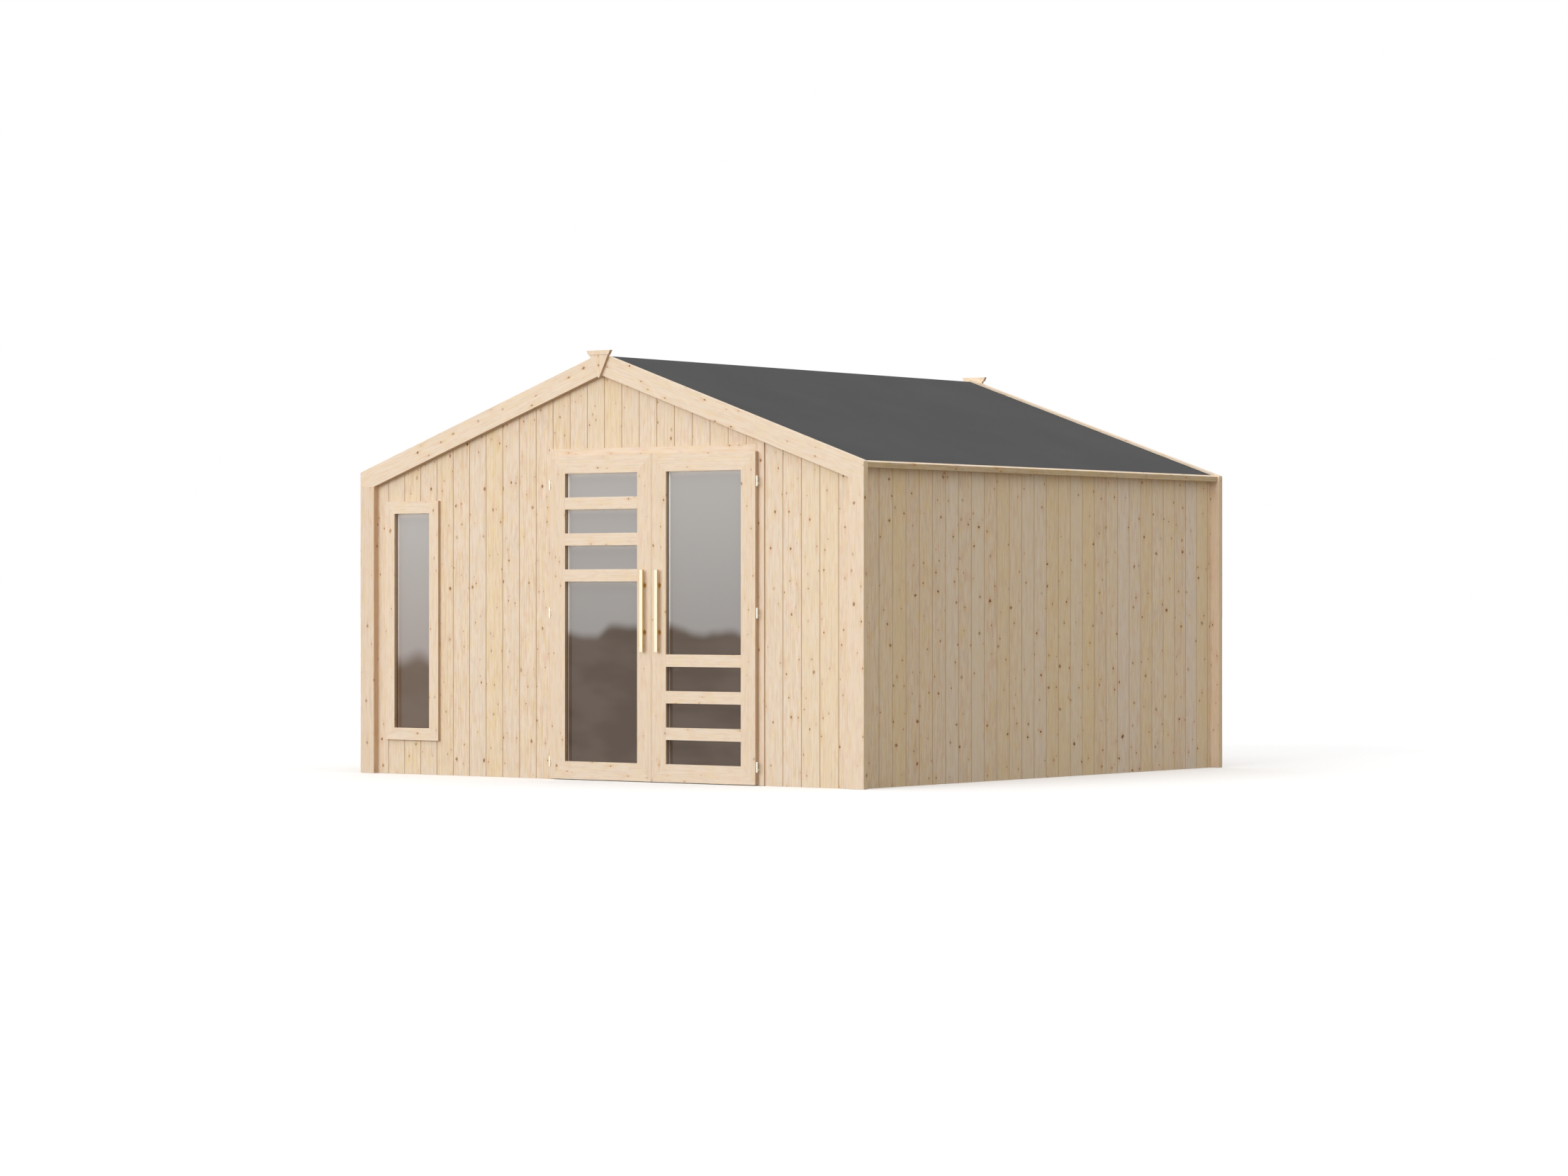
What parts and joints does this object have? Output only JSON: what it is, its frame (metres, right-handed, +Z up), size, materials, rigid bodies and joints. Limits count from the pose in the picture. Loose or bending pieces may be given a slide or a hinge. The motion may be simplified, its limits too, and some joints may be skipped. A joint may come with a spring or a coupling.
{
  "type": "garden shed",
  "caption": "Wooden garden shed with a low felted pitched roof, white-edged trim, a narrow fixed window and a pair of glazed doors that open outwards.",
  "frame": {"origin": "on the ground, under the middle of the box that holds the whole shed at rest", "axes": "+X to the right along the door wall, seen from outside; +Y into the shed, from the door wall to the rear wall; +Z up"},
  "size_m": [3.6, 3.708, 2.385],
  "materials": {
    "pine_boards": "planed pale pine, matt",
    "pine_trim": "planed pale pine with fine grain, matt",
    "pine_door": "planed pale pine with fine grain, satin",
    "pine_inside": "sawn pine, matt",
    "roofing_felt": "dark grey mineral felt, matt and grainy",
    "window_glass": "clear flat glass",
    "black_gasket": "black rubber, matt",
    "brass": "pale brass, satin"
  },
  "bodies": {
    "shed": {"front_wall_left": "pine_boards", "front_wall_right": "pine_boards", "front_wall_gable": "pine_boards", "rear_wall": "pine_boards", "left_wall": "pine_boards", "right_wall": "pine_boards", "front_studs": "pine_inside", "rear_studs": "pine_inside", "left_studs": "pine_inside", "right_studs": "pine_inside", "side_plates": "pine_inside", "end_plates": "pine_inside", "ridge_beam_and_purlins": "pine_inside", "roof_boards_left": "pine_inside", "roof_boards_right": "pine_inside", "felt_left": "roofing_felt", "felt_right": "roofing_felt", "barge_boards_left": "pine_trim", "barge_boards_right": "pine_trim", "corner_boards": "pine_trim", "eaves_battens": "pine_trim", "finials": "pine_trim", "door_posts": "pine_trim", "door_header": "pine_trim", "window_surround_stiles": "pine_trim", "window_surround_rails": "pine_trim", "window_glass": "window_glass", "window_beads": "pine_inside", "frame_hinge_halves": "brass"},
    "left_door_leaf": {"left_leaf_stiles": "pine_door", "left_leaf_rails": "pine_door", "left_leaf_gasket": "black_gasket", "left_leaf_glass": "window_glass", "left_leaf_beads": "pine_inside", "left_handle_bar": "brass", "left_handle_posts": "brass", "left_hinge_halves": "brass"},
    "right_door_leaf": {"right_leaf_stiles": "pine_door", "right_leaf_rails": "pine_door", "right_leaf_gasket": "black_gasket", "right_leaf_glass": "window_glass", "right_leaf_beads": "pine_inside", "right_handle_bar": "brass", "right_handle_posts": "brass", "right_hinge_halves": "brass"}
  },
  "joints": [
    {"name": "left_door_hinge", "type": "hinge", "parent": "shed", "child": "left_door_leaf", "pos_m": [-0.3665, -1.824, 0.932], "axis": [0, 0, -1], "range_deg": [0, 160]},
    {"name": "right_door_hinge", "type": "hinge", "parent": "shed", "child": "right_door_leaf", "pos_m": [1.0905, -1.824, 0.932], "axis": [0, 0, 1], "range_deg": [0, 160]}
  ]
}
